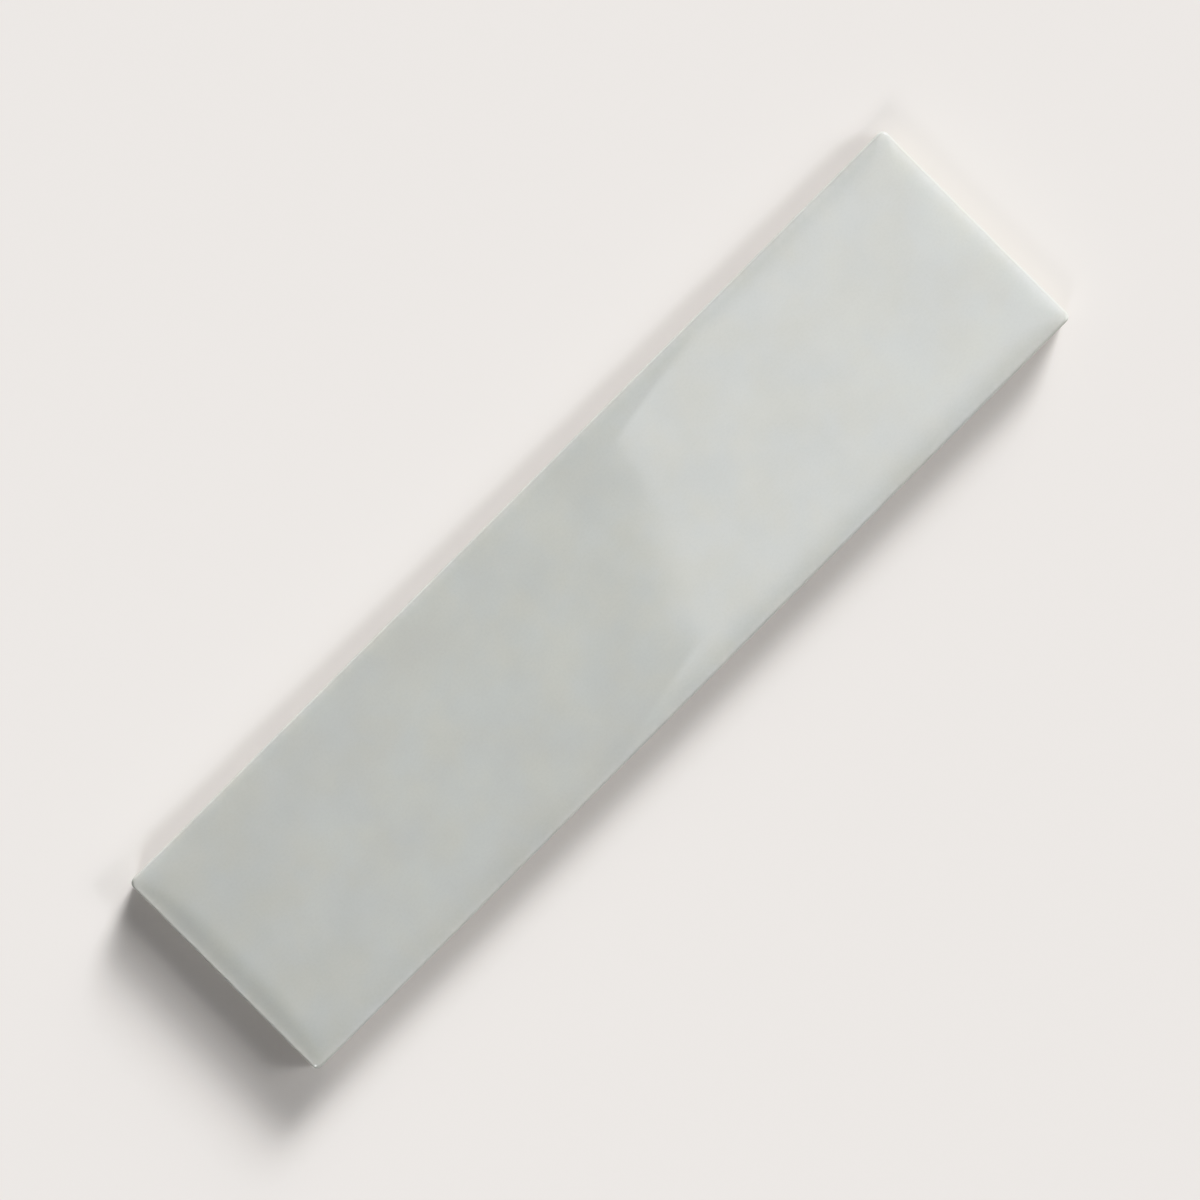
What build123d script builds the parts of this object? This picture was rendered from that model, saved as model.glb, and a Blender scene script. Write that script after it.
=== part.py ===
from build123d import *
from math import radians, tan
import os

# One dust-pressed ceramic wall tile with a glazed face, lying on its back.
# Sizes are in millimetres. The origin is the middle of the back, +X runs along
# the tile's length, +Y across its width and +Z out of the glazed face.

# Outline and thickness
length = 200.0
width = 50.0
thickness = 8.0
corner_radius = 1.2

# Cushion edge: the band in which the face falls away towards the sides
cushion_width = 6.0
cushion_drop = 0.45
cushion_power = 2.0
cushion_sections = 6
flat_corner_radius = 5.0
arris_radius = 0.6

# Sides: upright under the face, then leaning in, with a bevel round the back
lean_height = 3.0
lean_angle = 4.0
back_bevel = 0.8

# Keyed back: shallow pockets between a rim and ribs, which grip the adhesive
rim_width = 3.4
rib_width = 3.0
usual_pocket = 13.0
pocket_depth = 0.9
pocket_corner_radius = 1.8
pocket_draft = 25.0

# An edge lies at a height when its middle is within this margin of it
edge_margin = 0.01

# The side stays upright from the top of its leaning part up to its shoulder,
# where the cushion edge starts. At the back it has come in by the lean inset.
shoulder_height = thickness - cushion_drop
lean_inset = lean_height * tan(radians(lean_angle))


def outline(height, inset=0.0, radius=corner_radius):
    """Gives the tile's rounded outline at a height, set in by an inset."""
    rectangle = RectangleRounded(length - 2 * inset, width - 2 * inset, radius)
    return Plane.XY.offset(height) * rectangle


def cushion_section(share):
    """Gives the cushion edge's outline at a share of the way in to the flat."""
    drop = cushion_drop * (1 - share) ** cushion_power
    radius = corner_radius + share * (flat_corner_radius - corner_radius)
    return outline(thickness - drop, share * cushion_width, radius)


def cushioned_face():
    """Lofts the top of the tile, from its shoulder in to the flat of its face."""
    last = cushion_sections - 1
    return loft([cushion_section(step / last) for step in range(cushion_sections)])


def sides():
    """Builds the body under the shoulder: upright sides over leaning ones."""
    bend = outline(lean_height)
    upright = extrude(bend, amount=shoulder_height - lean_height)
    leaning = extrude(bend, amount=-lean_height, taper=lean_angle)
    return upright + leaning


def edges_at(blank, height):
    """Gives the edges of the blank that lie at a height."""
    return blank.edges().filter_by_position(Axis.Z, height - edge_margin, height + edge_margin)


def pressed_blank():
    """Joins face and sides, rounds the arris between them and bevels the back."""
    blank = sides() + cushioned_face()
    blank = fillet(edges_at(blank, shoulder_height), arris_radius)
    return chamfer(edges_at(blank, 0), back_bevel)


def pockets_along(size):
    """Gives the number of pockets along one side of the back, and their size."""
    room = size - 2 * (lean_inset + back_bevel + rim_width)
    count = max(1, round((room + rib_width) / (usual_pocket + rib_width)))
    return count, (room - (count - 1) * rib_width) / count


def back_pockets():
    """Builds the pockets of the back, each narrowing towards its floor."""
    columns, pocket_length = pockets_along(length)
    rows, pocket_width = pockets_along(width)
    mouth = RectangleRounded(pocket_length, pocket_width, pocket_corner_radius)
    pocket = extrude(mouth, amount=pocket_depth, taper=pocket_draft)
    pitch_x = pocket_length + rib_width
    pitch_y = pocket_width + rib_width
    return [place * pocket for place in GridLocations(pitch_x, pitch_y, columns, rows)]


def tile():
    """Builds the whole tile: the blank with the pockets pressed into its back."""
    return pressed_blank() - back_pockets()


os.makedirs("parts", exist_ok=True)
export_step(tile(), "parts/tile.step")
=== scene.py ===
"""A glazed ceramic wall tile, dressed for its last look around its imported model.

Units are metres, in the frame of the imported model. The origin is the middle of
the back, +X runs along the tile, +Y across it and +Z out of the glazed face.
"""

import logging
from collections.abc import Iterable, Sequence
from dataclasses import dataclass, field, replace
from enum import Enum
from functools import cached_property
from math import atan, cos, hypot, pi, radians, sin, tan
from random import Random

import bpy
import numpy as np
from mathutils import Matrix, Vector


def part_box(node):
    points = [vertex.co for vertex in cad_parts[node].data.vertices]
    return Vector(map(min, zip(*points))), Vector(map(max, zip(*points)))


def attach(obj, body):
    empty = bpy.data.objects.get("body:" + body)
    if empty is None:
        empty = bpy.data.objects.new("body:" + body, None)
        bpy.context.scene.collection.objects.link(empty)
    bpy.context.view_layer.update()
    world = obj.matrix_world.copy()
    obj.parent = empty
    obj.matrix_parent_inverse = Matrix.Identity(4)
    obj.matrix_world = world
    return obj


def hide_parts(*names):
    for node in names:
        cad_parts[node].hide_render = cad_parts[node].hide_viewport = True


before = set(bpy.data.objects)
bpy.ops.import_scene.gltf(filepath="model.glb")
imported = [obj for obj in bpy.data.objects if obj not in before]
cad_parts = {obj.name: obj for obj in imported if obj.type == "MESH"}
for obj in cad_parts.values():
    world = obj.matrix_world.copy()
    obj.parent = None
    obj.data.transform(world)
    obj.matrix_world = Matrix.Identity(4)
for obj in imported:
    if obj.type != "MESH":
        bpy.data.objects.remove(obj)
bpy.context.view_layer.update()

MM = 0.001
NODE = "tile"
BODY = "root"
BAKE_MAP = "OFBake"
MAP_MARGIN = 2 * MM
CLOUD_DETAIL = 3.0
GRAIN_DETAIL = 2.0

# A rectangle's corners, anticlockwise from the lower left
CORNERS = ((-1, -1), (1, -1), (1, 1), (-1, 1))

# The factor in the exponent of a bell curve
BELL_RATE = -0.5

# The colour sockets of a Mix node, by number because their names repeat
MIX_SHARE, MIX_FIRST, MIX_SECOND, MIX_RESULT = 0, 6, 7, 2

log = logging.getLogger("tile")

Colour = tuple[float, float, float]
Span = tuple[float, float]
Line = list[tuple[float, float]]
Rows = list[tuple[np.ndarray, np.ndarray]]
Socket = bpy.types.NodeSocket
Feed = Socket | float | Sequence[float]


class Finish(Enum):
    """The tile's finishes, in the order of its material slots."""

    GLAZE = 0
    BARE_BODY = 1


class Island(Enum):
    """The two parts of the tile's flat map, cut apart just inside the foot of its bevel."""

    FRONT = 0
    BACK = 1


class Mark(Enum):
    """What the finishes read from each corner of the mesh, by its attribute's name."""

    THINNESS = "glaze_thinness"
    OVERSPRAY = "overspray"


class Mixing(Enum):
    """How one colour is laid over another."""

    COVER = "MIX"
    TINGE = "MULTIPLY"


def new_object(name: str, data: bpy.types.ID) -> bpy.types.Object:
    """Makes an object and links it to the scene.

    Args:
        name: Its name.
        data: Its mesh, lamp or camera.

    Returns:
        The object.
    """
    made = bpy.data.objects.new(name, data)
    bpy.context.scene.collection.objects.link(made)
    return made


def soften(line: Line, reach: float, steps: int) -> Line:
    """Rounds the bends of a broken line.

    Args:
        line: The line's points, ends included.
        reach: How far from each bend its curve starts and ends.
        steps: The number of stretches in each curve.

    Returns:
        The points of the rounded line, with its two ends as they were.
    """
    points = [Vector(point) for point in line]
    rounded = [points[0]]
    for before, bend, after in zip(points, points[1:], points[2:]):
        start = bend + (before - bend).normalized() * reach
        end = bend + (after - bend).normalized() * reach
        for step in range(steps + 1):
            share = step / steps
            rounded.append(start.lerp(bend, share).lerp(bend.lerp(end, share), share))
    rounded.append(points[-1])
    return [tuple(point) for point in rounded]


@dataclass(frozen=True)
class RoundedRing:
    """Corners along a rounded rectangle, anticlockwise from its lower left bend.

    The lower side comes first, then the bend at its right end, and so on round.
    """

    length: float
    width: float
    long_steps: int
    short_steps: int
    bend_steps: int

    @property
    def grid_shape(self) -> tuple[int, int]:
        """How many corners a grid that fills the ring has along X and along Y."""
        return self.long_steps + 1, self.short_steps + 1

    @cached_property
    def stations(self) -> tuple[np.ndarray, np.ndarray]:
        """Where the middle of each corner's bend lies, and the corner's way out.

        Returns:
            The middles, from -1 to 1 along X and Y, and the ways out, one row each.
        """
        signs = np.array(CORNERS, float)
        lower_side_out, quarter_turn = radians(270), pi / 2
        middles, angles = [], []
        for side, (start, end) in enumerate(zip(signs, np.roll(signs, -1, 0))):
            steps = self.short_steps if side % 2 else self.long_steps
            out = lower_side_out + quarter_turn * side
            share = (np.arange(steps) / steps)[:, None]
            middles += [start + (end - start) * share, np.tile(end, (self.bend_steps, 1))]
            bend = out + quarter_turn * np.arange(self.bend_steps) / self.bend_steps
            angles += [np.full(steps, out), bend]
        angle = np.concatenate(angles)
        return np.concatenate(middles), np.stack([np.cos(angle), np.sin(angle)], 1)

    def points(self, inset: float | np.ndarray, radius: float | np.ndarray) -> np.ndarray:
        """Places the ring's corners in plan.

        Args:
            inset: How far inside the rectangle they lie, one value or one each.
            radius: The radius of the bends there.

        Returns:
            Their X and Y, one row each.
        """
        middles, ways_out = self.stations
        inset = np.broadcast_to(inset, len(middles))[:, None]
        radius = np.broadcast_to(radius, len(middles))[:, None]
        half = np.array([self.length, self.width]) / 2
        return middles * (half - inset - radius) + ways_out * radius

    def travel(self, radius: float) -> np.ndarray:
        """Measures how far round the ring each corner lies.

        Args:
            radius: The radius of the bends.

        Returns:
            A share of the way round for each corner, from 0 to almost 1.
        """
        points = self.points(0.0, radius)
        runs = np.linalg.norm(np.roll(points, -1, 0) - points, axis=1)
        return np.concatenate([[0.0], np.cumsum(runs)[:-1]]) / runs.sum()

    def finer(self) -> "RoundedRing":
        """Gives the same ring with twice as many corners."""
        steps = (2 * count for count in (self.long_steps, self.short_steps, self.bend_steps))
        return RoundedRing(self.length, self.width, *steps)

    def filling(self, inset: float) -> np.ndarray:
        """Places a grid of corners that fills the ring.

        Args:
            inset: How far inside the rectangle the grid's edge lies.

        Returns:
            Their X and Y, one row each, in the order of a grid of grid_shape.
        """
        half = np.array([self.length, self.width]) / 2 - inset
        x, y = (np.linspace(-reach, reach, count) for reach, count in zip(half, self.grid_shape))
        return np.stack(np.meshgrid(x, y, indexing="ij"), -1).reshape(-1, 2)

    def round_grid(self, grid: np.ndarray) -> np.ndarray:
        """Lists a grid's edge so that it pairs up with this ring, corner for corner.

        Args:
            grid: The grid's corner numbers, by their place along X and Y.

        Returns:
            One number for each corner of the ring. Bends repeat the grid's corners.
        """
        sides = [grid[:-1, 0], grid[-1, :-1], grid[:0:-1, -1], grid[0, :0:-1]]
        ends = [grid[-1, 0], grid[-1, -1], grid[0, -1], grid[0, 0]]
        parts = [part for side, end in zip(sides, ends) for part in (side, np.full(self.bend_steps, end))]
        return np.concatenate(parts)


@dataclass(frozen=True)
class Waves:
    """A seeded sum of waves, each as steep as the others."""

    height: float
    shortest: float
    longest: float
    count: int
    seed: int

    def draw(self) -> tuple[np.ndarray, np.ndarray, np.ndarray, np.ndarray]:
        """Draws the waves.

        Returns:
            The length, the share of the height, the direction and the start of each.
        """
        rng = Random(self.seed)
        spread = np.array([rng.random() for _ in range(self.count)])
        lengths = self.shortest * (self.longest / self.shortest) ** spread
        turns = np.array([rng.uniform(0, pi) for _ in range(self.count)])
        starts = np.array([rng.uniform(0, 2 * pi) for _ in range(self.count)])
        return lengths, self.height * lengths / lengths.sum(), turns, starts

    def dip(self, x: np.ndarray, y: np.ndarray) -> np.ndarray:
        """Gives how far a surface dips at places in plan.

        Args:
            x: Their X.
            y: Their Y.

        Returns:
            A depth from 0 to the height for each place.
        """
        dip = np.zeros(np.shape(x))
        for length, share, turn, start in zip(*self.draw()):
            phase = 2 * pi * (x * cos(turn) + y * sin(turn)) / length + start
            dip += share * (1 + np.cos(phase)) / 2
        return dip

    def along(self, travel: np.ndarray, round_length: float) -> np.ndarray:
        """Gives how far an edge wanders on its way round, closing on itself.

        Args:
            travel: How far round each place lies, from 0 to 1.
            round_length: The length of the way round.

        Returns:
            A reach from 0 to the height for each place.
        """
        reach = np.zeros(len(travel))
        for length, share, _, start in zip(*self.draw()):
            turns = max(1, round(round_length / length))
            reach += share * (1 + np.cos(2 * pi * turns * travel + start)) / 2
        return reach


@dataclass
class Skin:
    """One closed mesh in the making, with what its finishes and flat map need."""

    places: list[np.ndarray] = field(default_factory=list)
    unrolled: list[np.ndarray] = field(default_factory=list)
    marks: dict[Mark, list[np.ndarray]] = field(default_factory=lambda: {mark: [] for mark in Mark})
    faces: list[list[int]] = field(default_factory=list)
    finishes: list[int] = field(default_factory=list)
    islands: list[int] = field(default_factory=list)
    count: int = 0

    def add(
        self,
        plan: np.ndarray,
        height: float | np.ndarray,
        unrolled: np.ndarray | None = None,
        thinness: float | np.ndarray = 0.0,
        overspray: float | np.ndarray = 0.0,
    ) -> np.ndarray:
        """Adds corners to the mesh.

        Args:
            plan: Their X and Y.
            height: Their Z, one value or one each.
            unrolled: Their places in the unrolled front, or None on the back.
            thinness: How thin the glaze is there, from 0 to 1.
            overspray: How much stray glaze lies there, from 0 to 1.

        Returns:
            The corners' numbers.
        """
        size = len(plan)
        self.places.append(np.column_stack([plan, np.broadcast_to(height, size)]))
        self.unrolled.append(plan if unrolled is None else unrolled)
        self.marks[Mark.THINNESS].append(np.broadcast_to(thinness, size))
        self.marks[Mark.OVERSPRAY].append(np.broadcast_to(overspray, size))
        numbers = np.arange(self.count, self.count + size)
        self.count += size
        return numbers

    def keep(self, faces: Iterable[list[int]], finish: Finish, island: Island) -> None:
        """Adds faces, leaving out corners that a face names twice.

        Args:
            faces: The corner numbers of each face, in order.
            finish: The finish that they wear.
            island: The part of the flat map that they belong to.
        """
        for face in faces:
            self.faces.append(list(dict.fromkeys(face)))
            self.finishes.append(finish.value)
            self.islands.append(island.value)

    def band(self, first: np.ndarray, second: np.ndarray, finish: Finish, island: Island) -> None:
        """Joins two rings that run anticlockwise, seen from above, by a band of faces.

        The second ring lies further out, lower, or further in on the underside.
        Either ring may have twice as many corners as the other.

        Args:
            first: The corner numbers of the first ring.
            second: The corner numbers of the second ring.
            finish: The finish of the band.
            island: The part of the flat map that it belongs to.
        """
        ahead, behind = np.roll(first, -1), np.roll(second, -1)
        if len(first) == len(second):
            faces = [(first, second, behind, ahead)]
        elif len(first) < len(second):
            here, there = first, ahead
            low, middle, high = second[::2], second[1::2], behind[1::2]
            faces = [(here, low, middle), (here, middle, there), (there, middle, high)]
        else:
            here, there = second, behind
            low, middle, high = first[::2], first[1::2], ahead[1::2]
            faces = [(low, here, middle), (middle, here, there), (middle, there, high)]
        for corners in faces:
            self.keep(np.stack(corners, 1).tolist(), finish, island)

    def grid(self, numbers: np.ndarray, finish: Finish, island: Island) -> None:
        """Fills a grid of corners with faces, looking up on the front and down on the back.

        Args:
            numbers: The corner numbers, by their place along X and Y.
            finish: The finish of the faces.
            island: The part of the flat map that they belong to.
        """
        corners = [numbers[:-1, :-1], numbers[1:, :-1], numbers[1:, 1:], numbers[:-1, 1:]]
        if island is Island.BACK:
            corners.reverse()
        self.keep(np.stack([part.ravel() for part in corners], 1).tolist(), finish, island)

    def open_edges(self) -> int:
        """Counts the edges that don't join just two faces.

        Returns:
            Their number, which is 0 once the mesh is closed.
        """
        pairs = [pair for face in self.faces for pair in zip(face, face[1:] + face[:1])]
        uses = np.unique(np.sort(np.array(pairs), axis=1), axis=0, return_counts=True)[1]
        return int((uses != 2).sum())

    def object(self, name: str) -> bpy.types.Object:
        """Makes the mesh object, with its marks and its flat map.

        Args:
            name: The piece's name.

        Returns:
            The object, linked to the scene.
        """
        places = np.concatenate(self.places)
        mesh = bpy.data.meshes.new(name)
        mesh.from_pydata(places.tolist(), [], self.faces)
        mesh.polygons.foreach_set("material_index", self.finishes)
        mesh.polygons.foreach_set("use_smooth", [True] * len(self.faces))
        for mark, values in self.marks.items():
            layer = mesh.attributes.new(mark.value, "FLOAT", "POINT")
            layer.data.foreach_set("value", np.concatenate(values).astype(np.float32))
        self.lay_flat(mesh, places)
        mesh.validate()
        mesh.update()
        return new_object(name, mesh)

    def lay_flat(self, mesh: bpy.types.Mesh, places: np.ndarray) -> None:
        """Lays the front, unrolled over its sides, above the back in one flat map.

        Args:
            mesh: The mesh that gets the map.
            places: The mesh's corners.
        """
        front = np.concatenate(self.unrolled)
        back = places[:, :2] * (-1, 1)
        corner = np.array([number for face in self.faces for number in face])
        island = np.repeat(self.islands, [len(face) for face in self.faces])
        on_back = island == Island.BACK.value
        spots = np.where(on_back[:, None], back[corner], front[corner])
        front_half = np.abs(spots[~on_back]).max(0)
        back_half = np.abs(spots[on_back]).max(0)
        sheet = np.array([2 * front_half[0], 2 * (front_half[1] + back_half[1]) + MAP_MARGIN])
        sheet += 2 * MAP_MARGIN
        front_middle = (0, 2 * back_half[1] + MAP_MARGIN + front_half[1])
        middle = np.where(on_back[:, None], (0, back_half[1]), front_middle)
        spots = (spots + middle + (sheet[0] / 2, MAP_MARGIN)) / sheet
        layer = mesh.uv_layers.new(name=BAKE_MAP)
        layer.data.foreach_set("uv", spots.astype(np.float32).ravel())


@dataclass(frozen=True)
class TileForm:
    """The sizes that the tile's parts share, and the rings that they are built on.

    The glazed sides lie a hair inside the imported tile's, by the glaze_gap, which
    leaves room for the bead along their lip.
    """

    length: float
    width: float
    thickness: float
    corner_radius: float = 1.2 * MM
    glaze_gap: float = 0.03 * MM
    long_steps: int = 192
    short_steps: int = 48
    bend_steps: int = 8
    edge_waves: Waves = Waves(height=0.025 * MM, shortest=11 * MM, longest=60 * MM, count=8, seed=5)

    @cached_property
    def ring(self) -> RoundedRing:
        """The ring that the face and the back are built on."""
        return RoundedRing(self.length, self.width, self.long_steps, self.short_steps, self.bend_steps)

    @cached_property
    def fine_ring(self) -> RoundedRing:
        """The ring that the sides are built on, where the glaze ends unevenly."""
        return self.ring.finer()

    @property
    def round_length(self) -> float:
        """The way round the tile."""
        return 2 * (self.length + self.width)

    def wander(self, ring: RoundedRing, waves: Waves) -> np.ndarray:
        """Gives how far an edge wanders at each corner of a ring."""
        return waves.along(ring.travel(self.corner_radius), self.round_length)


@dataclass
class Seam:
    """The ring that the tile's mesh has grown to, on its way from the face to the back."""

    numbers: np.ndarray
    inset: float
    height: float
    unrolled_inset: float

    def descend(self, inset: float, height: float) -> None:
        """Moves on to the next ring's place, and unrolls the way there."""
        self.unrolled_inset -= hypot(inset - self.inset, height - self.height)
        self.inset, self.height = inset, height

    def join(self, skin: Skin, numbers: np.ndarray, finish: Finish, island: Island) -> None:
        """Joins the last ring to the next by a band of faces, and takes up the next."""
        skin.band(self.numbers, numbers, finish, island)
        self.numbers = numbers


@dataclass(frozen=True)
class GlazedFace:
    """The glazed face: its flat, the cushion edge round it and the rounded arris.

    The cushion edge falls by cushion_drop over cushion_width, slowly at first, as a
    power of the way out. Its corners go from the tile's radius to that of the flat.
    The glaze thins out within thin_reach of the sides, and within edge_reach of them
    the face follows their wandering edge instead of its own swell and ripple.
    """

    form: TileForm
    cushion_width: float = 6.0 * MM
    cushion_drop: float = 0.45 * MM
    cushion_power: float = 2.0
    flat_corner_radius: float = 5.0 * MM
    arris_radius: float = 0.6 * MM
    thin_reach: float = 0.6 * MM
    edge_reach: float = 3.0 * MM
    flat_bands: int = 5
    cushion_bands: int = 12
    arris_bands: int = 9
    settling_rounds: int = 20
    swell: Waves = Waves(height=0.012 * MM, shortest=16 * MM, longest=60 * MM, count=9, seed=11)
    ripple: Waves = Waves(height=0.0012 * MM, shortest=5 * MM, longest=9 * MM, count=12, seed=23)

    def fall(self, inset: float) -> float:
        """Gives how far the cushion edge has fallen at an inset."""
        share = min(inset / self.cushion_width, 1.0)
        return self.cushion_drop * (1 - share) ** self.cushion_power

    def slope(self, inset: float) -> float:
        """Works out how steep the cushion edge is.

        Args:
            inset: How far inside the tile's sides.

        Returns:
            Its slope there, in radians.
        """
        share = min(inset / self.cushion_width, 1.0)
        steepest = self.cushion_power * self.cushion_drop / self.cushion_width
        return atan(steepest * (1 - share) ** (self.cushion_power - 1))

    def arris_start(self) -> float:
        """Finds where the cushion edge runs into the arris without a bend.

        Returns:
            The inset there, which settles after a few rounds.
        """
        inset = self.arris_radius
        for _ in range(self.settling_rounds):
            inset = self.arris_radius * (1 - sin(self.slope(inset))) + self.form.glaze_gap
        return inset

    def plan_radius(self, inset: float) -> float:
        """Works out how round the tile's corners are on the cushion edge and the arris.

        Args:
            inset: How far inside the tile's sides.

        Returns:
            The corners' radius there, seen from above.
        """
        form = self.form
        share = (inset - form.glaze_gap) / (self.cushion_width - form.glaze_gap)
        return form.corner_radius + share * (self.flat_corner_radius - form.corner_radius)

    def section(self) -> list[tuple[float, float, float]]:
        """Works out the face's rings, from the flat outwards.

        Returns:
            The inset, height and corner radius of each.
        """
        top, rings = self.form.thickness, []
        for band in range(1, self.flat_bands + 1):
            radius = self.flat_corner_radius * band / self.flat_bands
            rings.append((self.cushion_width + self.flat_corner_radius - radius, top, radius))
        start = self.arris_start()
        for band in range(1, self.cushion_bands + 1):
            inset = self.cushion_width + (start - self.cushion_width) * band / self.cushion_bands
            rings.append((inset, top - self.fall(inset), self.plan_radius(inset)))
        lean = self.slope(start)
        middle = top - self.fall(start) - self.arris_radius * cos(lean)
        for band in range(1, self.arris_bands + 1):
            turn = lean + (pi / 2 - lean) * band / self.arris_bands
            inset = self.form.glaze_gap + self.arris_radius * (1 - sin(turn))
            rings.append((inset, middle + self.arris_radius * cos(turn), self.plan_radius(inset)))
        return rings

    def unevenness(self, plan: np.ndarray) -> np.ndarray:
        """Gives how far the fired glaze dips below its true height at places in plan."""
        return self.swell.dip(*plan.T) + self.ripple.dip(*plan.T)

    def build(self, skin: Skin) -> Seam:
        """Adds the face to the tile's mesh.

        Args:
            skin: The mesh in the making.

        Returns:
            The ring at the foot of the arris.
        """
        form, ring, section = self.form, self.form.ring, self.section()
        half = np.array([form.length, form.width]) / 2
        plan = ring.filling(self.cushion_width + self.flat_corner_radius)
        thinness = np.exp(-(half - np.abs(plan)).min(1) / self.thin_reach)
        flat = skin.add(plan, form.thickness - self.unevenness(plan), plan, thinness)
        flat = flat.reshape(ring.grid_shape)
        skin.grid(flat, Finish.GLAZE, Island.FRONT)
        wander = form.wander(ring, form.edge_waves)
        inset, height, _ = section[0]
        seam = Seam(ring.round_grid(flat), inset, height, inset)
        for inset, height, radius in section:
            seam.descend(inset, height)
            nearness = max(0.0, 1 - inset / self.edge_reach)
            plan = ring.points(inset + wander * nearness**2, radius)
            dip = self.unevenness(plan) * (1 - nearness)
            spots = ring.points(seam.unrolled_inset, radius + inset - seam.unrolled_inset)
            thinness = np.exp(-inset / self.thin_reach)
            numbers = skin.add(plan, height - dip, spots, thinness)
            seam.join(skin, numbers, Finish.GLAZE, Island.FRONT)
        return seam


@dataclass(frozen=True)
class TileSides:
    """The sides: glazed down to an uneven lip, bare below it, leaning in to the bevel.

    The glaze ends in a bead that swells out by bead_swell and then turns in to the
    body, the later the higher bead_power is. Down the sides the corners lose a part
    of their radius, corner_easing times the inset. The section's bends are rounded
    over bend_reach, with a straight bend_lead before the first and after the last.
    """

    form: TileForm
    lip_height: float = 4.0 * MM
    lip_waves: Waves = Waves(height=0.9 * MM, shortest=3 * MM, longest=70 * MM, count=16, seed=31)
    bead_height: float = 0.55 * MM
    bead_swell: float = 0.028 * MM
    bead_power: float = 7.0
    body_inset: float = 0.12 * MM
    lean_height: float = 3.0 * MM
    lean_angle: float = radians(4.0)
    back_bevel: float = 0.8 * MM
    bend_reach: float = 0.16 * MM
    bend_lead: float = 0.32 * MM
    corner_easing: float = 0.5
    foot_corner_radius: float = 0.6 * MM
    foot_width: float = 0.4 * MM
    crumble: Waves = Waves(height=0.09 * MM, shortest=1.2 * MM, longest=20 * MM, count=18, seed=47)
    overspray_reach: float = 0.8 * MM
    thin_reach: float = 0.8 * MM
    glazed_bands: int = 4
    bead_bands: int = 8
    bare_bands: int = 3
    bend_bands: int = 3

    @property
    def foot_inset(self) -> float:
        """The inset of the bevel's foot, in the plane of the back."""
        return self.lean_height * tan(self.lean_angle) + self.back_bevel

    def bare_section(self) -> Line:
        """Works out the bare side's rings, from its lean down to the foot.

        Returns:
            The inset and height of each.
        """
        bevel_top = self.back_bevel * cos(self.lean_angle)
        lean = (self.lean_height - bevel_top) * tan(self.lean_angle)
        line = [
            (self.body_inset, self.lean_height + self.bend_lead),
            (self.body_inset, self.lean_height),
            (self.body_inset + lean, bevel_top),
            (self.foot_inset, 0.0),
            (self.foot_inset + self.bend_lead, 0.0),
        ]
        return soften(line, self.bend_reach, self.bend_bands)

    def glazed_rows(self, top: float, lip: np.ndarray) -> Rows:
        """Places the glazed side's rows, from the arris down over the bead at the lip.

        Args:
            top: The height of the arris's foot.
            lip: The height of the lip at each corner of the ring.

        Returns:
            The inset and height of each row, with a value for each corner.
        """
        gap, rows = self.form.glaze_gap, []
        bead_top = lip + self.bead_height
        for band in range(1, self.glazed_bands + 1):
            height = top + (bead_top - top) * band / self.glazed_bands
            rows.append((np.full(len(lip), gap), height))
        for band in range(1, self.bead_bands + 1):
            share = sin(pi / 2 * band / self.bead_bands)
            swell = self.bead_swell * sin(pi * share)
            inset = gap - swell + (self.body_inset - gap) * share**self.bead_power
            rows.append((np.full(len(lip), inset), lip + self.bead_height * (1 - share)))
        return rows

    def bare_rows(self, lip: np.ndarray) -> Rows:
        """Places the bare side's rows, from under the lip to the foot of the bevel.

        Args:
            lip: The height of the lip at each corner of the ring.

        Returns:
            The inset and height of each row, with a value for each corner.
        """
        section = self.bare_section()
        first_height, rows = section[0][1], []
        for band in range(1, self.bare_bands):
            height = lip + (first_height - lip) * band / self.bare_bands
            rows.append((np.full(len(lip), self.body_inset), height))
        crumble = self.form.wander(self.form.fine_ring, self.crumble)
        for inset, height in section:
            share = max(0.0, 1 - height / self.lean_height)
            rows.append((inset + crumble * share**2, np.full(len(lip), height)))
        return rows

    def build(self, skin: Skin, seam: Seam) -> None:
        """Adds the sides to the tile's mesh.

        Args:
            skin: The mesh in the making.
            seam: The ring at the foot of the arris, which moves on to a ring just
                inside the foot of the bevel.
        """
        form, ring, top = self.form, self.form.fine_ring, seam.height
        lip = self.lip_height + form.wander(ring, self.lip_waves)
        edge = form.wander(ring, form.edge_waves)
        rows = [(Finish.GLAZE, *row) for row in self.glazed_rows(top, lip)]
        rows += [(Finish.BARE_BODY, *row) for row in self.bare_rows(lip)]
        for finish, inset, height in rows:
            mean_inset = float(inset.mean())
            seam.descend(mean_inset, float(height.mean()))
            radius = form.corner_radius - self.corner_easing * max(0.0, mean_inset - form.glaze_gap)
            spots = ring.points(seam.unrolled_inset, radius + mean_inset - seam.unrolled_inset)
            thinness = np.exp((height - top) / self.thin_reach)
            stray = np.exp(-np.maximum(lip - height, 0) / self.overspray_reach)
            numbers = skin.add(ring.points(inset + edge, radius), height, spots, thinness, stray)
            seam.join(skin, numbers, finish, Island.FRONT)
        inset = self.foot_inset + self.bend_lead + self.foot_width
        numbers = skin.add(form.ring.points(inset, self.foot_corner_radius), 0.0)
        seam.join(skin, numbers, Finish.BARE_BODY, Island.BACK)


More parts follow.
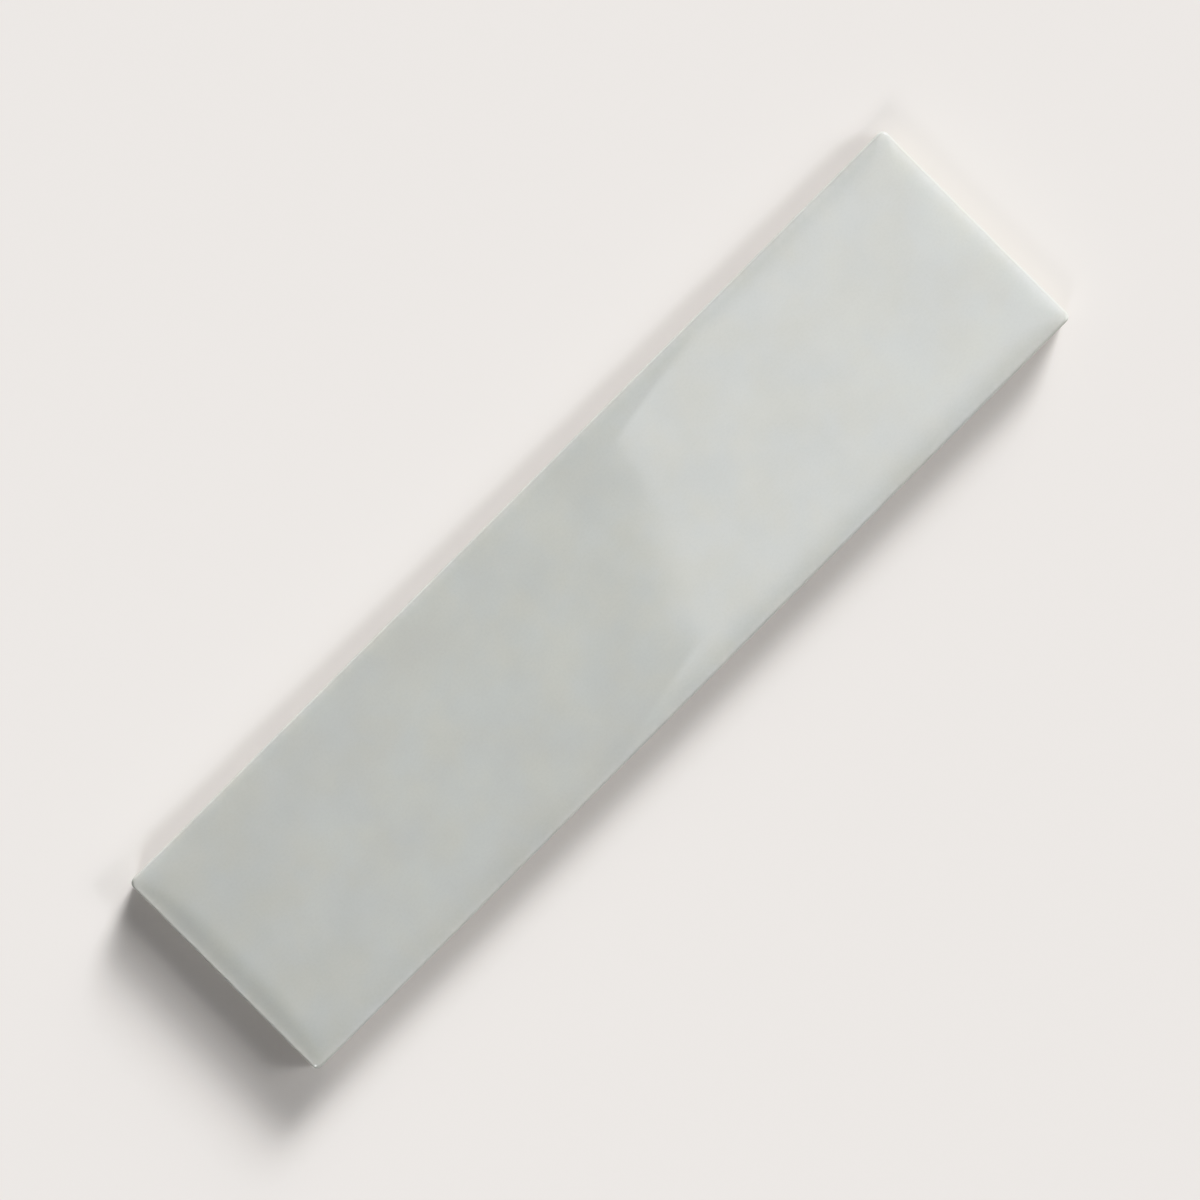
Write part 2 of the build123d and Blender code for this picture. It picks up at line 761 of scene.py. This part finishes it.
@dataclass(frozen=True)
class KeyedBack:
    """The keyed back: shallow pockets between a rim and ribs, which grip the adhesive.

    The pocket walls slope by pocket_draft. Their bends are rounded over bend_reach,
    with a straight rib_lead on the rib before them and a floor_lead after them.
    """

    form: TileForm
    sides: TileSides
    columns: int = 12
    rows: int = 3
    rim_width: float = 3.4 * MM
    rib_width: float = 3.0 * MM
    pocket_depth: float = 0.9 * MM
    pocket_corner_radius: float = 1.8 * MM
    pocket_draft: float = radians(25.0)
    bend_reach: float = 0.2 * MM
    rib_lead: float = 0.3 * MM
    floor_lead: float = 0.4 * MM
    bend_bands: int = 3
    pocket_bend_steps: int = 4
    wear: Waves = Waves(height=0.1 * MM, shortest=1.0 * MM, longest=14 * MM, count=9, seed=71)

    @property
    def pocket_size(self) -> np.ndarray:
        """A pocket's length and width at its mouth.

        Returns:
            Both, in an array.
        """
        edge = self.sides.foot_inset + self.rim_width
        room = np.array([self.form.length, self.form.width]) - 2 * edge
        count = np.array([self.columns, self.rows])
        return (room - (count - 1) * self.rib_width) / count

    @property
    def pitch(self) -> np.ndarray:
        """The way from one pocket to the next, along X and along Y."""
        return self.pocket_size + self.rib_width

    @property
    def steps(self) -> tuple[int, int]:
        """How many steps of the back's grid a pocket takes up along X and along Y."""
        return self.form.long_steps // self.columns, self.form.short_steps // self.rows

    def lattice(self, skin: Skin) -> np.ndarray:
        """Adds the lines of corners along the middles of the ribs and of the rim.

        Args:
            skin: The mesh in the making.

        Returns:
            The corner numbers by their steps along X and Y, or -1 off the lines.
        """
        across, up = self.steps
        half = self.pitch * (self.columns, self.rows) / 2
        i, j = np.indices(self.form.ring.grid_shape)
        used = (i % across == 0) | (j % up == 0)
        plan = np.stack([i[used], j[used]], 1) * self.pitch / (across, up) - half
        numbers = np.full(i.shape, -1)
        numbers[used] = skin.add(plan, 0.0)
        return numbers

    def pocket_section(self) -> Line:
        """Works out a pocket's rings, from its ribs inwards.

        Returns:
            The inset from the mouth and the height of each.
        """
        run = self.pocket_depth * tan(self.pocket_draft)
        line = [
            (-self.rib_lead, 0.0),
            (0.0, 0.0),
            (run, self.pocket_depth),
            (run + self.floor_lead, self.pocket_depth),
        ]
        return soften(line, self.bend_reach, self.bend_bands)

    def pocket(
        self, skin: Skin, ring: RoundedRing, rim: np.ndarray, middle: np.ndarray, wear: Waves
    ) -> None:
        """Adds one pocket, from the middles of its ribs to its floor.

        Args:
            skin: The mesh in the making.
            ring: The pocket's ring at its mouth.
            rim: The corner numbers round it, paired with the ring.
            middle: The pocket's middle in plan.
            wear: How its mouth is worn.
        """
        reach = wear.along(ring.travel(self.pocket_corner_radius), 2 * (ring.length + ring.width))
        numbers = rim
        for inset, height in self.pocket_section():
            shift = (reach - wear.height / 2) * (1 - height / self.pocket_depth)
            plan = ring.points(inset + shift, self.pocket_corner_radius - inset) + middle
            row = skin.add(plan, height)
            skin.band(numbers, row, Finish.BARE_BODY, Island.BACK)
            numbers = row
        floor = skin.add(ring.filling(self.pocket_corner_radius) + middle, self.pocket_depth)
        floor = floor.reshape(ring.grid_shape)
        skin.band(numbers, ring.round_grid(floor), Finish.BARE_BODY, Island.BACK)
        skin.grid(floor, Finish.BARE_BODY, Island.BACK)

    def build(self, skin: Skin, seam: Seam) -> None:
        """Adds the back to the tile's mesh, which closes it.

        Args:
            skin: The mesh in the making.
            seam: The ring just inside the foot of the bevel.
        """
        lattice = self.lattice(skin)
        seam.join(skin, self.form.ring.round_grid(lattice), Finish.BARE_BODY, Island.BACK)
        across, up = self.steps
        ring = RoundedRing(*self.pocket_size, across, up, self.pocket_bend_steps)
        for number, (column, row) in enumerate(np.ndindex(self.columns, self.rows)):
            left, low = column * across, row * up
            cell = lattice[left : left + across + 1, low : low + up + 1]
            place = np.array([column - (self.columns - 1) / 2, row - (self.rows - 1) / 2])
            wear = replace(self.wear, seed=self.wear.seed + number)
            self.pocket(skin, ring, ring.round_grid(cell), place * self.pitch, wear)


@dataclass
class NodeSheet:
    """Lays shader nodes in one tree and links them, each to the right of the last."""

    tree: bpy.types.NodeTree
    spacing: float = 190.0

    @classmethod
    def of(cls, owner: bpy.types.Material | bpy.types.Light | bpy.types.World) -> "NodeSheet":
        """Starts an empty sheet for a material, a lamp or the surroundings.

        Args:
            owner: What the nodes belong to.

        Returns:
            The sheet.
        """
        owner.use_nodes = True
        owner.node_tree.nodes.clear()
        return cls(owner.node_tree)

    def add(
        self, kind: str, feeds: dict[str | int, Feed] | None = None, **settings: object
    ) -> bpy.types.Node:
        """Adds a node.

        Args:
            kind: Its type.
            feeds: What goes into its sockets: a link from another socket, or a value.
            settings: Its other settings.

        Returns:
            The node.
        """
        node = self.tree.nodes.new(kind)
        node.location.x = self.spacing * len(self.tree.nodes)
        for name, value in settings.items():
            setattr(node, name, value)
        for socket, feed in (feeds or {}).items():
            self.feed(node.inputs[socket], feed)
        return node

    def feed(self, socket: Socket, feed: Feed) -> None:
        """Links a socket to another, or sets its value.

        Args:
            socket: The socket that takes the feed.
            feed: The other socket, or the value.
        """
        if isinstance(feed, Socket):
            self.tree.links.new(feed, socket)
        else:
            socket.default_value = feed

    def math(self, operation: str, *feeds: Feed) -> Socket:
        """Adds a Math node and gives its result."""
        return self.add("ShaderNodeMath", dict(enumerate(feeds)), operation=operation).outputs[0]

    def place(self) -> Socket:
        """Gives the place on the object that is looked at."""
        return self.add("ShaderNodeTexCoord").outputs["Object"]

    def split(self, place: Socket) -> bpy.types.NodeOutputs:
        """Splits a place or a direction into its X, Y and Z."""
        return self.add("ShaderNodeSeparateXYZ", {"Vector": place}).outputs

    def mark(self, mark: Mark) -> Socket:
        """Reads one of the tile's marks from its mesh."""
        return self.add("ShaderNodeAttribute", attribute_name=mark.value).outputs["Fac"]

    def remap(self, value: Feed, span: tuple[Feed, Feed], onto: Span = (0.0, 1.0)) -> Socket:
        """Eases a value from one range into another.

        Args:
            value: The value.
            span: Where its range starts and ends.
            onto: The results at the start and at the end.

        Returns:
            The result's socket.
        """
        feeds = {"Value": value, "From Min": span[0], "From Max": span[1]}
        feeds |= {"To Min": onto[0], "To Max": onto[1]}
        return self.add("ShaderNodeMapRange", feeds, interpolation_type="SMOOTHSTEP").outputs["Result"]

    def bell(self, u: Feed, v: Feed, height: float) -> Socket:
        """Lays a bell curve over two distances.

        Args:
            u: The first distance, in spreads of the curve.
            v: The second one.
            height: The curve's height in the middle.

        Returns:
            The curve's height there.
        """
        square = self.math("MULTIPLY_ADD", u, u, self.math("MULTIPLY", v, v))
        falloff = self.math("EXPONENT", self.math("MULTIPLY", square, BELL_RATE))
        return self.math("MULTIPLY", falloff, height)

    def blend(self, share: Feed, first: Feed, second: Feed, way: Mixing = Mixing.COVER) -> Socket:
        """Lays a colour over another.

        Args:
            share: How far the second one counts.
            first: The colour underneath.
            second: The colour on top.
            way: How it is laid.

        Returns:
            The mixed colour's socket.
        """
        feeds = {MIX_SHARE: share, MIX_FIRST: rgba(first), MIX_SECOND: rgba(second)}
        node = self.add("ShaderNodeMix", feeds, data_type="RGBA", blend_type=way.value)
        return node.outputs[MIX_RESULT]

    def relief(self, surface: bpy.types.Node, height: Socket, depth: float) -> None:
        """Gives a surface a fine relief of a given depth."""
        bump = self.add("ShaderNodeBump", {"Height": height, "Distance": depth, "Strength": 1.0})
        self.feed(surface.inputs["Normal"], bump.outputs[0])


def rgba(colour: Feed) -> Feed:
    """Gives a colour its fourth value, and leaves a socket as it is."""
    return colour if isinstance(colour, Socket) else (*colour, 1.0)


def new_group(name: str, inputs: dict[str, float], outputs: Sequence[str]) -> NodeSheet:
    """Starts a shader node group.

    Args:
        name: Its name.
        inputs: The names of its inputs, with their usual values.
        outputs: The names of its outputs.

    Returns:
        A sheet to lay its nodes on.
    """
    tree = bpy.data.node_groups.new(name, "ShaderNodeTree")
    for label, value in inputs.items():
        socket = tree.interface.new_socket(name=label, in_out="INPUT", socket_type="NodeSocketFloat")
        socket.default_value = value
    for label in outputs:
        tree.interface.new_socket(name=label, in_out="OUTPUT", socket_type="NodeSocketFloat")
    return NodeSheet(tree)


def clouds_group() -> bpy.types.NodeTree:
    """Makes the group for slow clouds: patches of tone that drift over a surface.

    Returns:
        A group with the inputs Size, Offset and Sharpness and the output Mask.
    """
    sheet = new_group("slow clouds", {"Size": 20 * MM, "Offset": 0.0, "Sharpness": 0.2}, ["Mask"])
    given = sheet.add("NodeGroupInput").outputs
    shifted = sheet.add("ShaderNodeVectorMath", {0: sheet.place(), 1: given["Offset"]}).outputs[0]
    feeds = {"Vector": shifted, "Scale": sheet.math("DIVIDE", 1.0, given["Size"]), "Detail": CLOUD_DETAIL}
    noise = sheet.add("ShaderNodeTexNoise", feeds).outputs[0]
    span = (given["Sharpness"], sheet.math("SUBTRACT", 1.0, given["Sharpness"]))
    sheet.add("NodeGroupOutput", {"Mask": sheet.remap(noise, span)})
    return sheet.tree


def grain_group() -> bpy.types.NodeTree:
    """Makes the group for fine grain: small uneven specks, drawn out down the sides.

    Returns:
        A group with the inputs Size, Drawn out and Roughness and the output Grain.
    """
    sheet = new_group("fine grain", {"Size": 1 * MM, "Drawn out": 1.0, "Roughness": 0.5}, ["Grain"])
    given = sheet.add("NodeGroupInput").outputs
    place = sheet.split(sheet.place())
    drawn = sheet.math("DIVIDE", place["Z"], given["Drawn out"])
    where = sheet.add("ShaderNodeCombineXYZ", {"X": place["X"], "Y": place["Y"], "Z": drawn})
    feeds = {"Vector": where.outputs[0], "Scale": sheet.math("DIVIDE", 1.0, given["Size"])}
    feeds |= {"Detail": GRAIN_DETAIL, "Roughness": given["Roughness"]}
    noise = sheet.add("ShaderNodeTexNoise", feeds).outputs[0]
    sheet.add("NodeGroupOutput", {"Grain": noise})
    return sheet.tree


@dataclass(frozen=True)
class Clouds:
    """Slow clouds as one finish wears them: their size, start and crispness."""

    size: float
    offset: float
    sharpness: float


@dataclass(frozen=True)
class Grain:
    """Fine grain as one finish wears it: its size, roughness and drag down the sides."""

    size: float
    roughness: float
    drawn_out: float = 1.0


@dataclass(frozen=True)
class Effects:
    """The node groups that more than one finish uses, built once."""

    clouds: bpy.types.NodeTree
    grain: bpy.types.NodeTree

    def cloud(self, sheet: NodeSheet, clouds: Clouds) -> Socket:
        """Places slow clouds in a material and gives their mask."""
        feeds = {"Size": clouds.size, "Offset": clouds.offset, "Sharpness": clouds.sharpness}
        return sheet.add("ShaderNodeGroup", feeds, node_tree=self.clouds).outputs["Mask"]

    def speck(self, sheet: NodeSheet, grain: Grain) -> Socket:
        """Places fine grain in a material and gives it."""
        feeds = {"Size": grain.size, "Drawn out": grain.drawn_out, "Roughness": grain.roughness}
        return sheet.add("ShaderNodeGroup", feeds, node_tree=self.grain).outputs["Grain"]


@dataclass(frozen=True)
class SageGlaze:
    """A glossy sage grey glaze, cloudy in tone and tint, and pale where it thins out.

    Grain breaks up the border between deep and thin, by break_up at the most. Specks
    dot the glaze, its gloss comes in clouds, and a faint peel lies over all of it.
    """

    deep: Colour = (0.437, 0.447, 0.424)
    thin: Colour = (0.600, 0.607, 0.580)
    cool: Colour = (0.990, 1.0, 1.016)
    warm: Colour = (1.010, 1.0, 0.976)
    shade: Colour = (0.964, 0.964, 0.964)
    light: Colour = (1.033, 1.033, 1.033)
    speck_tone: Colour = (0.97, 0.97, 0.97)
    tint_clouds: Clouds = Clouds(size=9 * MM, offset=3.0, sharpness=0.3)
    tone_clouds: Clouds = Clouds(size=14 * MM, offset=7.0, sharpness=0.25)
    gloss_clouds: Clouds = Clouds(size=7 * MM, offset=11.0, sharpness=0.2)
    break_up_grain: Grain = Grain(size=1.6 * MM, roughness=0.6)
    break_up_span: Span = (0.3, 0.7)
    break_up: float = 0.3
    specks: Grain = Grain(size=0.5 * MM, roughness=0.7)
    speck_span: Span = (0.35, 0.75)
    peel: Grain = Grain(size=2.6 * MM, roughness=0.3)
    peel_height: float = 0.0005 * MM
    smoothest: float = 0.025
    dullest: float = 0.045
    gloss_index: float = 1.5

    def material(self, effects: Effects) -> bpy.types.Material:
        """Makes the glaze's material.

        Args:
            effects: The node groups that the finishes share.

        Returns:
            The material.
        """
        material, sheet, surface = new_material("sage_glaze")
        thinness = sheet.mark(Mark.THINNESS)
        border = sheet.math("MULTIPLY", thinness, sheet.math("SUBTRACT", 1.0, thinness))
        grain = effects.speck(sheet, self.break_up_grain)
        swing = sheet.remap(grain, self.break_up_span, (-self.break_up, self.break_up))
        share = sheet.math("ADD", thinness, sheet.math("MULTIPLY", border, swing))
        colour = sheet.blend(share, self.deep, self.thin)
        tint = sheet.blend(effects.cloud(sheet, self.tint_clouds), self.cool, self.warm)
        tone = sheet.blend(effects.cloud(sheet, self.tone_clouds), self.shade, self.light)
        specks = sheet.remap(effects.speck(sheet, self.specks), self.speck_span)
        for amount, tinge in ((1.0, tint), (1.0, tone), (specks, self.speck_tone)):
            colour = sheet.blend(amount, colour, tinge, Mixing.TINGE)
        sheet.feed(surface.inputs["Base Color"], colour)
        gloss = effects.cloud(sheet, self.gloss_clouds)
        dullness = sheet.remap(gloss, (0.0, 1.0), (self.smoothest, self.dullest))
        sheet.feed(surface.inputs["Roughness"], dullness)
        sheet.relief(surface, effects.speck(sheet, self.peel), self.peel_height)
        surface.inputs["IOR"].default_value = self.gloss_index
        return material


@dataclass(frozen=True)
class FiredBody:
    """The bare fired body: cream, dull and finely granular, with wash on the ribs.

    Stray glaze shows as a mist, where its grain and the mesh's mark for it, times
    mist_lift, together pass mist_span. The body's own grain is drawn out down the
    sides, as it comes out of the press.
    """

    cream: Colour = (0.40, 0.375, 0.332)
    pale: Colour = (0.46, 0.440, 0.397)
    wash: Colour = (0.78, 0.76, 0.70)
    stray_glaze: Colour = (0.50, 0.52, 0.49)
    # Painted shade: the colour that darkens the body in small specks, standing in for shade in pits that
    # have no relief
    pit_shade_colour: Colour = (0.72, 0.69, 0.64)
    tone_clouds: Clouds = Clouds(size=12 * MM, offset=2.0, sharpness=0.25)
    wash_clouds: Clouds = Clouds(size=4 * MM, offset=5.0, sharpness=0.3)
    wash_reach: float = 0.3 * MM
    pit_shade_specks: Grain = Grain(size=0.9 * MM, roughness=0.8)
    pit_shade_span: Span = (0.62, 0.72)
    mist: Grain = Grain(size=0.35 * MM, roughness=0.6)
    mist_lift: float = 0.55
    mist_span: Span = (0.75, 0.9)
    grain: Grain = Grain(size=0.35 * MM, roughness=0.7, drawn_out=12.0)
    grain_height: float = 0.02 * MM
    roughness: float = 0.82

    def material(self, effects: Effects) -> bpy.types.Material:
        """Makes the bare body's material.

        Args:
            effects: The node groups that the finishes share.

        Returns:
            The material.
        """
        material, sheet, surface = new_material("fired_body")
        colour = sheet.blend(effects.cloud(sheet, self.tone_clouds), self.cream, self.pale)
        height = sheet.split(sheet.place())["Z"]
        on_ribs = sheet.remap(height, (0.0, self.wash_reach), (1.0, 0.0))
        rubbed = effects.cloud(sheet, self.wash_clouds)
        colour = sheet.blend(sheet.math("MULTIPLY", on_ribs, rubbed), colour, self.wash)
        # Painted shade of small pits: darker specks laid over the body's colour, with no relief under
        # them
        pit_shade_specks = sheet.remap(effects.speck(sheet, self.pit_shade_specks), self.pit_shade_span)
        colour = sheet.blend(pit_shade_specks, colour, self.pit_shade_colour, Mixing.TINGE)
        lift = sheet.math("MULTIPLY", sheet.mark(Mark.OVERSPRAY), self.mist_lift)
        mist = sheet.math("ADD", lift, effects.speck(sheet, self.mist))
        colour = sheet.blend(sheet.remap(mist, self.mist_span), colour, self.stray_glaze)
        sheet.feed(surface.inputs["Base Color"], colour)
        sheet.relief(surface, effects.speck(sheet, self.grain), self.grain_height)
        surface.inputs["Roughness"].default_value = self.roughness
        return material


@dataclass(frozen=True)
class FloorPaint:
    """The plain pale paint of the floor, with no shine at all."""

    colour: Colour = (0.80, 0.770, 0.747)
    roughness: float = 1.0
    shine: float = 0.0

    def material(self) -> bpy.types.Material:
        """Makes the floor's material.

        Returns:
            The material.
        """
        material, _, surface = new_material("floor_paint")
        surface.inputs["Base Color"].default_value = rgba(self.colour)
        surface.inputs["Roughness"].default_value = self.roughness
        surface.inputs["Specular IOR Level"].default_value = self.shine
        return material


def new_material(name: str) -> tuple[bpy.types.Material, NodeSheet, bpy.types.Node]:
    """Starts a material.

    Args:
        name: Its name.

    Returns:
        The material, a sheet to lay its nodes on, and its surface shader.
    """
    material = bpy.data.materials.new(name)
    sheet = NodeSheet.of(material)
    surface = sheet.add("ShaderNodeBsdfPrincipled")
    sheet.add("ShaderNodeOutputMaterial", {"Surface": surface.outputs[0]})
    return material, sheet, surface


@dataclass
class CeramicTile:
    """The whole tile: face, sides and back in one closed mesh, and its finishes."""

    form: TileForm
    glaze: SageGlaze = SageGlaze()
    body: FiredBody = FiredBody()
    name: str = "glazed_tile"

    def build(self) -> bpy.types.Object:
        """Builds the tile's mesh.

        Returns:
            The tile's object, without its finishes.
        """
        skin, sides = Skin(), TileSides(self.form)
        seam = GlazedFace(self.form).build(skin)
        sides.build(skin, seam)
        KeyedBack(self.form, sides).build(skin, seam)
        log.info("%s: %d corners, %d open edges", self.name, skin.count, skin.open_edges())
        return skin.object(self.name)

    def dress(self, piece: bpy.types.Object, effects: Effects) -> None:
        """Gives the tile its finishes, in the order of the Finish names."""
        piece.data.materials.append(self.glaze.material(effects))
        piece.data.materials.append(self.body.material(effects))

    def make(self, effects: Effects) -> bpy.types.Object:
        """Builds and dresses the tile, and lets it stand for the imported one.

        Args:
            effects: The node groups that the finishes share.

        Returns:
            The tile's object.
        """
        piece = self.build()
        self.dress(piece, effects)
        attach(piece, BODY)
        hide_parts(NODE)
        return piece


@dataclass(frozen=True)
class Glow:
    """A soft light in the studio's surroundings, brightest in its middle.

    The angles are in degrees: where it is (turn and height), and how far it
    spreads to the sides (width) and upwards (rise).
    """

    turn: float
    height: float
    width: float
    rise: float
    strength: float

    def lay(self, sheet: NodeSheet, way: Socket) -> Socket:
        """Lays the light's nodes.

        Args:
            sheet: The sheet of the surroundings.
            way: The direction that is looked at.

        Returns:
            How bright the light is in that direction.
        """
        feeds = {"Vector": way, "Angle": -radians(self.turn)}
        turned = sheet.add("ShaderNodeVectorRotate", feeds, rotation_type="Z_AXIS")
        place = sheet.split(turned.outputs[0])
        aside = sheet.math("ARCTAN2", place["Y"], place["X"])
        above = sheet.math("SUBTRACT", sheet.math("ARCSINE", place["Z"]), radians(self.height))
        u = sheet.math("DIVIDE", aside, radians(self.width))
        v = sheet.math("DIVIDE", above, radians(self.rise))
        return sheet.bell(u, v, self.strength)


@dataclass(frozen=True)
class Pool:
    """A soft pool of light on a lamp's face, brightest in its middle."""

    along: float
    across: float
    length: float
    width: float
    radiance: float

    def lay(self, sheet: NodeSheet, x: Socket, y: Socket) -> Socket:
        """Lays the pool's nodes.

        Args:
            sheet: The sheet of the lamp's light.
            x: How far along the lamp's face the place lies.
            y: How far across it the place lies.

        Returns:
            The pool's radiance there.
        """
        u = sheet.math("DIVIDE", sheet.math("SUBTRACT", x, self.along), self.length)
        v = sheet.math("DIVIDE", sheet.math("SUBTRACT", y, self.across), self.width)
        return sheet.bell(u, v, self.radiance)


@dataclass(frozen=True)
class GlossLamp:
    """A square lamp that gloss mirrors, but that lights nothing dull."""

    name: str
    size: float

    def hang(self, place: Vector, behind: Vector) -> tuple[NodeSheet, bpy.types.NodeOutputs]:
        """Hangs the lamp, with a power at which its radiance is what its nodes say.

        Args:
            place: Where its middle hangs.
            behind: The direction that its back looks in.

        Returns:
            A sheet for the nodes of its light, and the X, Y and Z of a place on its face.
        """
        light = bpy.data.lights.new(self.name, "AREA")
        light.shape = "SQUARE"
        light.size = self.size
        light.energy = pi * self.size**2
        sheet = NodeSheet.of(light)
        lamp = new_object(self.name, light)
        lamp.location = place
        lamp.rotation_euler = behind.to_track_quat("Z", "Y").to_euler()
        lamp.visible_diffuse = False
        where = sheet.add("ShaderNodeNewGeometry").outputs["Position"]
        return sheet, sheet.split(where)

    @staticmethod
    def shine(sheet: NodeSheet, bright: Socket) -> None:
        """Ends a lamp's nodes with a light as bright as they say."""
        glow = sheet.add("ShaderNodeEmission", {"Strength": bright})
        sheet.add("ShaderNodeOutputLight", {"Surface": glow.outputs[0]})


@dataclass(frozen=True)
class Strip:
    """A soft light that stands beside the tile, mirrored in the arris of its left end."""

    lamp: GlossLamp = GlossLamp(name="strip", size=3.2)
    away: float = 2.1
    height: float = 2.1
    glow: Pool = Pool(along=0.0, across=1.95, length=0.7, width=0.5, radiance=6.5)

    def stand(self) -> None:
        """Stands the strip at its place, facing the tile, and lays the nodes of its light."""
        place = Vector((-self.away, 0.0, self.height))
        sheet, spot = self.lamp.hang(place, place)
        self.lamp.shine(sheet, self.glow.lay(sheet, spot["Y"], spot["Z"]))


@dataclass(frozen=True)
class Panel:
    """A panel of light high above the tile, made to be mirrored in its glaze.

    Its face has a soft veil of light all over and a brighter part that starts at a
    crisp edge. The edge slants across the room and bends where it passes the tile.
    The two rims are pools of light that the cushion edges at the tile's ends mirror.
    """

    lamp: GlossLamp = GlossLamp(name="panel", size=4.6)
    along: float = 0.2
    across: float = 0.1
    height: float = 4.0
    veil: Pool = Pool(along=0.85, across=0.05, length=0.75, width=1.0, radiance=3.5)
    right_rim: Pool = Pool(along=1.55, across=0.1, length=0.32, width=1.0, radiance=3.2)
    left_rim: Pool = Pool(along=-1.65, across=0.1, length=0.22, width=1.0, radiance=1.3)
    face: Pool = Pool(along=0.22, across=0.0, length=0.4, width=0.8, radiance=2.2)
    near_edge: float = 0.057
    lean: float = 0.1
    bow: float = 0.026
    bow_reach: float = 0.045
    edge_softness: float = 0.006

    def hang(self) -> None:
        """Hangs the panel over the room, and lays the nodes of its light."""
        place = Vector((self.along, self.across, self.height))
        sheet, spot = self.lamp.hang(place, Vector((0.0, 0.0, 1.0)))
        x, y = spot["X"], spot["Y"]
        bend = sheet.math("TANH", sheet.math("DIVIDE", y, self.bow_reach))
        edge = sheet.math("MULTIPLY_ADD", bend, self.bow, self.near_edge)
        edge = sheet.math("MULTIPLY_ADD", y, self.lean, edge)
        past = sheet.math("SUBTRACT", x, edge)
        lit = sheet.remap(past, (-self.edge_softness, self.edge_softness))
        bright = sheet.math("MULTIPLY", lit, self.face.lay(sheet, x, y))
        for pool in (self.veil, self.right_rim, self.left_rim):
            bright = sheet.math("ADD", pool.lay(sheet, x, y), bright)
        self.lamp.shine(sheet, bright)


@dataclass(frozen=True)
class Studio:
    """The plain studio: a pale floor, soft surroundings, two gloss lamps and the camera."""

    colour: Colour = (1.0, 1.0, 1.0)
    floor_size: float = 8.0
    floor_gap: float = 0.02 * MM
    ambient: float = 0.01
    key: Glow = Glow(turn=21.0, height=21.2, width=7.9, rise=7.2, strength=63.7)
    side: Glow = Glow(turn=-41.0, height=39.0, width=9.9, rise=5.3, strength=14.1)
    fill: Glow = Glow(turn=-148.0, height=46.0, width=6.0, rise=5.9, strength=21.8)
    panel: Panel = Panel()
    strip: Strip = Strip()
    camera_height: float = 1.5
    camera_turn: float = -45.0
    frame_width: float = 0.226
    sensor_width: float = 36.0

    def lay_floor(self) -> None:
        """Lays the floor just under the tile."""
        half = self.floor_size / 2
        corners = [(half * x, half * y, -self.floor_gap) for x, y in CORNERS]
        mesh = bpy.data.meshes.new("floor")
        mesh.from_pydata(corners, [], [(0, 1, 2, 3)])
        mesh.materials.append(FloorPaint().material())
        floor = new_object("floor", mesh)

    def light_room(self) -> None:
        """Lights the surroundings from three sides, and sets up what the glaze mirrors."""
        world = bpy.data.worlds.new("studio")
        sheet = NodeSheet.of(world)
        way = sheet.add("ShaderNodeTexCoord").outputs["Generated"]
        bright: Feed = self.ambient
        for glow in (self.key, self.side, self.fill):
            bright = sheet.math("ADD", glow.lay(sheet, way), bright)
        background = sheet.add("ShaderNodeBackground", {"Color": rgba(self.colour), "Strength": bright})
        sheet.add("ShaderNodeOutputWorld", {"Surface": background.outputs[0]})
        bpy.context.scene.world = world
        self.panel.hang()
        self.strip.stand()

    def place_camera(self) -> None:
        """Places the camera straight above the tile, turned so that it lies slanting."""
        camera = bpy.data.cameras.new("camera")
        camera.sensor_width = self.sensor_width
        camera.lens = self.sensor_width * self.camera_height / self.frame_width
        eye = new_object("camera", camera)
        eye.location = (0.0, 0.0, self.camera_height)
        eye.rotation_euler = (0.0, 0.0, radians(self.camera_turn))
        bpy.context.scene.camera = eye

    def set_up(self) -> None:
        """Sets up the whole studio, with colours shown as they are."""
        self.lay_floor()
        self.light_room()
        self.place_camera()
        bpy.context.scene.view_settings.view_transform = "Khronos PBR Neutral"
        bpy.context.scene.view_settings.look = "None"


def main() -> None:
    """Builds the tile and the studio round it, and reports each piece."""
    logging.basicConfig(level=logging.INFO, format="%(name)s: %(message)s")
    log.info("packed nodes: %s", ", ".join(sorted(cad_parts)))
    low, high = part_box(NODE)
    size = high - low
    form = TileForm(length=size.x, width=size.y, thickness=high.z)
    effects = Effects(clouds_group(), grain_group())
    piece = CeramicTile(form).make(effects)
    log.info("%s: %d faces, %.1f x %.1f x %.1f mm", piece.name, len(piece.data.polygons), *(size / MM))
    Studio().set_up()
    log.info("studio: floor, surroundings, panel, strip and camera")


if __name__ == "__main__":
    main()
